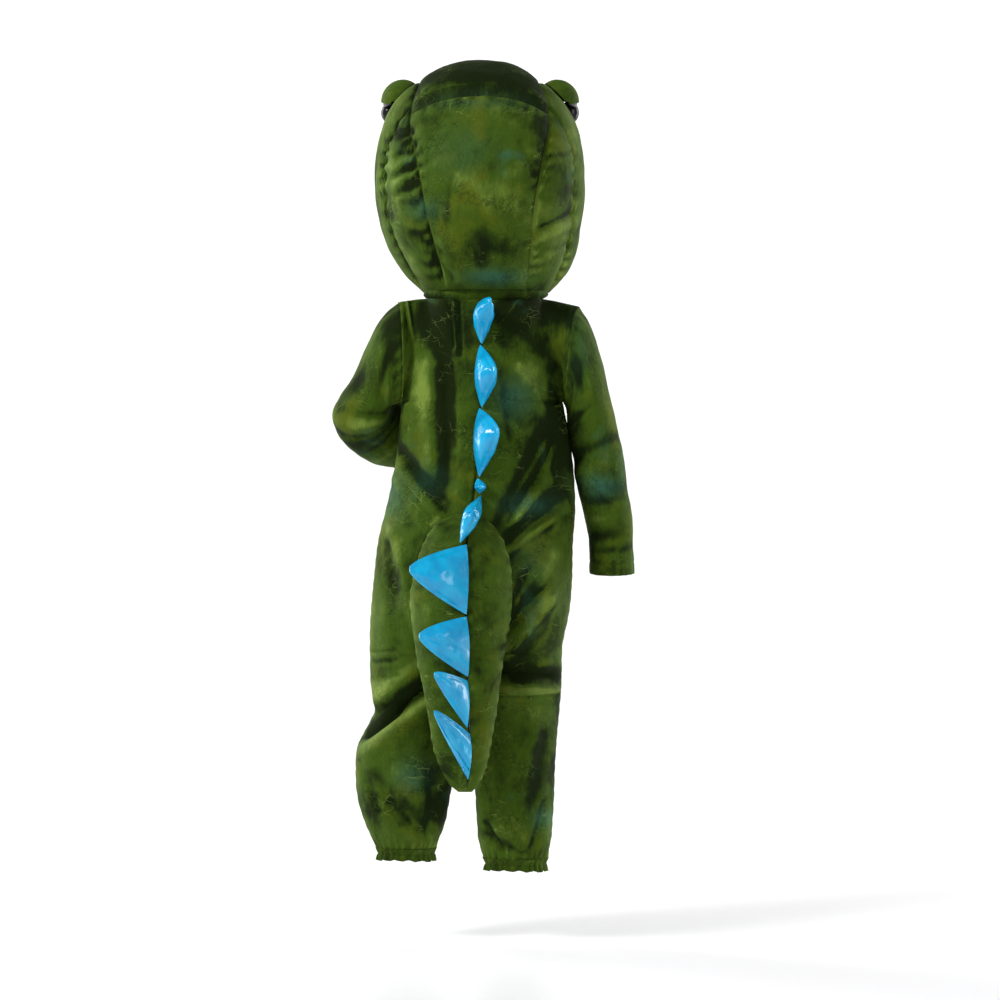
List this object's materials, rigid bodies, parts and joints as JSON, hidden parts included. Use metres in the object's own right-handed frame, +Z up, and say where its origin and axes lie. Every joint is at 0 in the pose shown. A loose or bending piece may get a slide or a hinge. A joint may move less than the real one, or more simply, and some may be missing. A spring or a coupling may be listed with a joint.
{
  "type": "dinosaur costume",
  "caption": "Child's hooded one-piece dinosaur costume in mottled green pile, with a padded head, stuffed tail, gathered ankles and glossy blue back spikes.",
  "frame": {"origin": "on the shoulder line, at the middle of the neck opening, where the suit hangs from the wearer's shoulders", "axes": "+Z up along the body, +Y the way the suit faces, so the back with its spikes and tail faces -Y; +X the wearer's right"},
  "size_m": [0.3866, 0.3564, 1.0369],
  "materials": {
    "back_left": "mottled short pile",
    "back_right": "mottled short pile",
    "front_left": "mottled short pile",
    "front_right": "mottled short pile",
    "sleeve_left": "mottled short pile",
    "sleeve_right": "mottled short pile",
    "ankle_casing_left": "mottled short pile",
    "ankle_casing_right": "mottled short pile",
    "neck_band": "mottled short pile",
    "back_placket": "short pile",
    "hood_back": "mottled short pile",
    "hood_crown": "mottled short pile",
    "hood_gore_left": "mottled short pile",
    "hood_gore_right": "mottled short pile",
    "hood_cheek_left": "mottled short pile",
    "hood_cheek_right": "mottled short pile",
    "eyelid_left": "mottled short pile",
    "eyelid_right": "mottled short pile",
    "eyelid_lining_left": "matt black",
    "eyelid_lining_right": "matt black",
    "eye_left": "glossy black",
    "eye_right": "glossy black",
    "tail_left": "mottled short pile",
    "tail_right": "mottled short pile",
    "spike_1": "glossy coated cloth",
    "spike_2": "glossy coated cloth",
    "spike_3": "glossy coated cloth",
    "spike_4": "glossy coated cloth",
    "spike_5": "glossy coated cloth",
    "spike_6": "glossy coated cloth",
    "spike_7": "glossy coated cloth",
    "spike_8": "glossy coated cloth",
    "spike_9": "glossy coated cloth"
  },
  "bodies": {
    "root": {"back_left": "back_left", "back_right": "back_right", "front_left": "front_left", "front_right": "front_right", "sleeve_left": "sleeve_left", "sleeve_right": "sleeve_right", "ankle_casing_left": "ankle_casing_left", "ankle_casing_right": "ankle_casing_right", "neck_band": "neck_band", "back_placket": "back_placket", "hood_back": "hood_back", "hood_crown": "hood_crown", "hood_gore_left": "hood_gore_left", "hood_gore_right": "hood_gore_right", "hood_cheek_left": "hood_cheek_left", "hood_cheek_right": "hood_cheek_right", "eyelid_left": "eyelid_left", "eyelid_right": "eyelid_right", "eyelid_lining_left": "eyelid_lining_left", "eyelid_lining_right": "eyelid_lining_right", "eye_left": "eye_left", "eye_right": "eye_right", "tail_left": "tail_left", "tail_right": "tail_right", "spike_1": "spike_1", "spike_2": "spike_2", "spike_3": "spike_3", "spike_4": "spike_4", "spike_5": "spike_5", "spike_6": "spike_6", "spike_7": "spike_7", "spike_8": "spike_8", "spike_9": "spike_9"}
  },
  "joints": []
}
